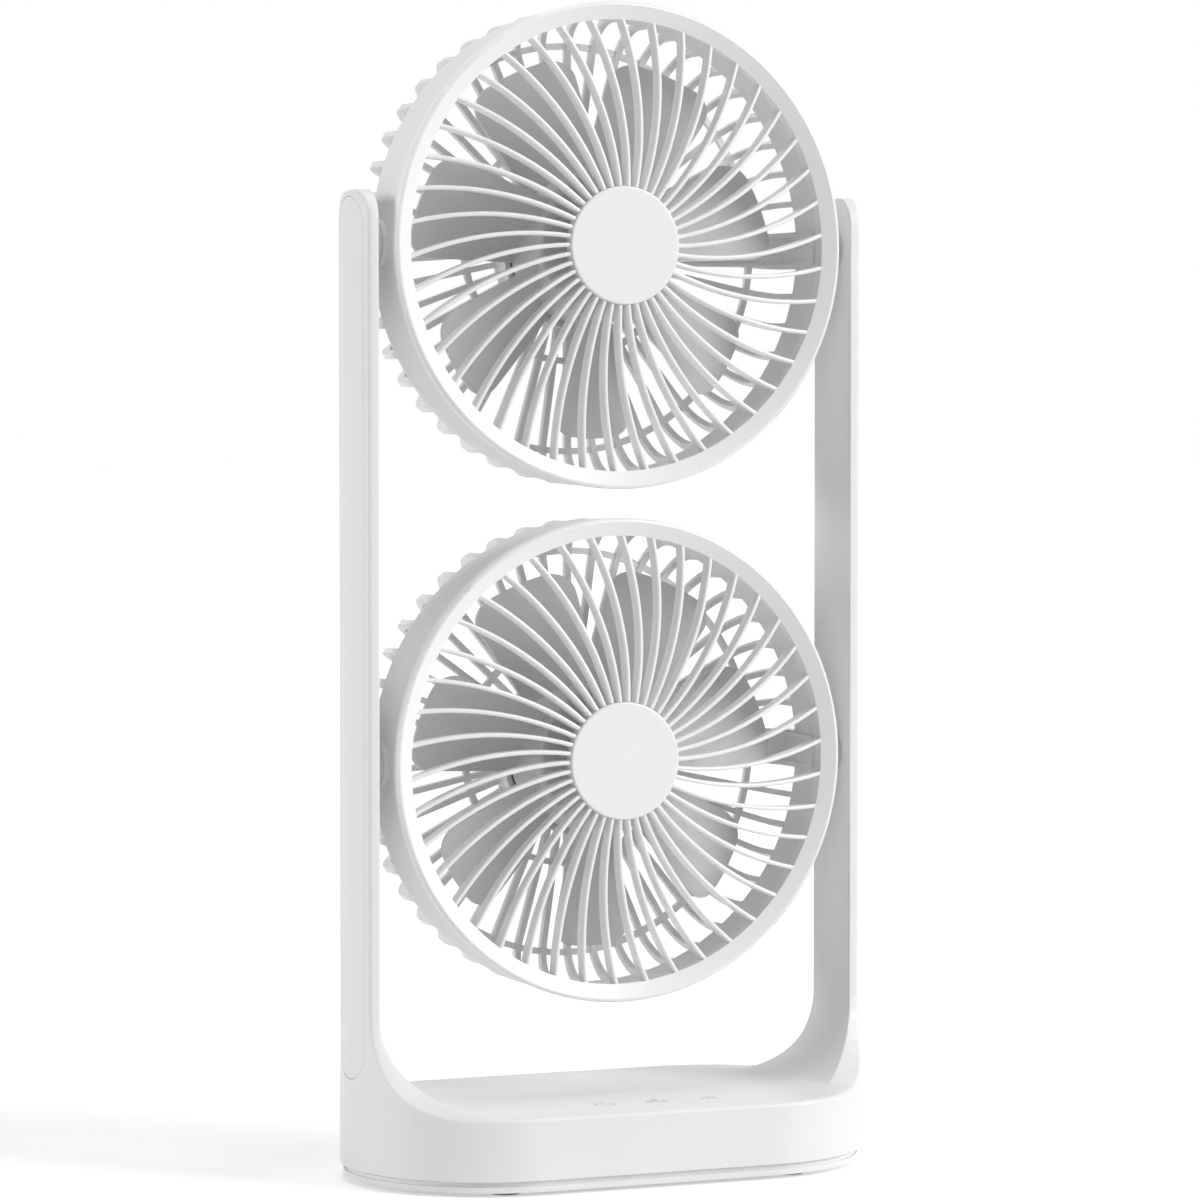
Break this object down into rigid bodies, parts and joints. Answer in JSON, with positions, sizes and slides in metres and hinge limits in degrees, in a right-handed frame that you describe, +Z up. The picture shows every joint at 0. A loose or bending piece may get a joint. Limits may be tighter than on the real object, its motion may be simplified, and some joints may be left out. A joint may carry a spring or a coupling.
{
  "type": "dual head portable fan",
  "caption": "Table fan with round grilled heads stacked between the uprights of a U-shaped frame on a low oval base; each head tilts on side pivots and holds a spinning impeller.",
  "frame": {"origin": "floor level under the middle of the base", "axes": "+X to the right seen from the front, +Y to the back, +Z up; the fans face -Y"},
  "size_m": [0.188, 0.102, 0.4013],
  "materials": {
    "white_shell": "satin white ABS",
    "white_gloss": "smooth white ABS",
    "impeller_white": "smooth white",
    "key_print": "matte pale grey",
    "foot_rubber": "matte",
    "washer_rubber": "matte",
    "pivot_plastic": "satin",
    "inner_plastic": "matte black",
    "steel": "zinc plated",
    "motor_steel": "drawn steel",
    "magnet": "dark sintered",
    "bronze": "sintered bronze",
    "copper": "copper foil",
    "board": "green solder mask",
    "cell_wrap": "blue shrink wrap",
    "lead": "black PVC insulation"
  },
  "bodies": {
    "frame": {"frame": "white_shell", "side_cover_left": "white_shell", "side_cover_right": "white_shell", "bottom_plate": "white_shell", "foot_pads": "foot_rubber", "base_screws": "steel", "touch_keys": "key_print", "touch_electrodes": "copper", "control_board": "board", "board_screws": "steel", "battery_cells": "cell_wrap", "battery_cradle": "inner_plastic", "charge_board": "board", "charging_socket": "steel", "lead_upper": "lead", "lead_lower": "lead"},
    "head_upper": {"front_grille_upper": "white_shell", "hub_cap_upper": "white_gloss", "rear_cage_upper": "white_shell", "motor_cap_upper": "white_shell", "motor_can_upper": "motor_steel", "motor_screws_upper": "steel", "motor_bushes_upper": "bronze", "magnet_ring_upper": "magnet", "grille_screw_upper": "steel", "motor_lead_upper": "lead", "pivot_stubs_upper": "pivot_plastic", "friction_washers_upper": "washer_rubber", "pivot_clips_upper": "steel"},
    "rotor_upper": {"impeller_upper": "impeller_white", "motor_shaft_upper": "steel", "armature_upper": "magnet"},
    "head_lower": {"front_grille_lower": "white_shell", "hub_cap_lower": "white_gloss", "rear_cage_lower": "white_shell", "motor_cap_lower": "white_shell", "motor_can_lower": "motor_steel", "motor_screws_lower": "steel", "motor_bushes_lower": "bronze", "magnet_ring_lower": "magnet", "grille_screw_lower": "steel", "motor_lead_lower": "lead", "pivot_stubs_lower": "pivot_plastic", "friction_washers_lower": "washer_rubber", "pivot_clips_lower": "steel"},
    "rotor_lower": {"impeller_lower": "impeller_white", "motor_shaft_lower": "steel", "armature_lower": "magnet"}
  },
  "joints": [
    {"name": "tilt_upper", "type": "hinge", "parent": "frame", "child": "head_upper", "pos_m": [0, 0, 0.3182], "axis": [1, 0, 0], "range_deg": [-90, 90]},
    {"name": "tilt_lower", "type": "hinge", "parent": "frame", "child": "head_lower", "pos_m": [0, 0, 0.1422], "axis": [1, 0, 0], "range_deg": [-90, 90]},
    {"name": "spin_upper", "type": "hinge", "parent": "head_upper", "child": "rotor_upper", "pos_m": [0, 0, 0.3182], "axis": [0, 1, 0], "continuous": true},
    {"name": "spin_lower", "type": "hinge", "parent": "head_lower", "child": "rotor_lower", "pos_m": [0, 0, 0.1422], "axis": [0, 1, 0], "continuous": true}
  ]
}
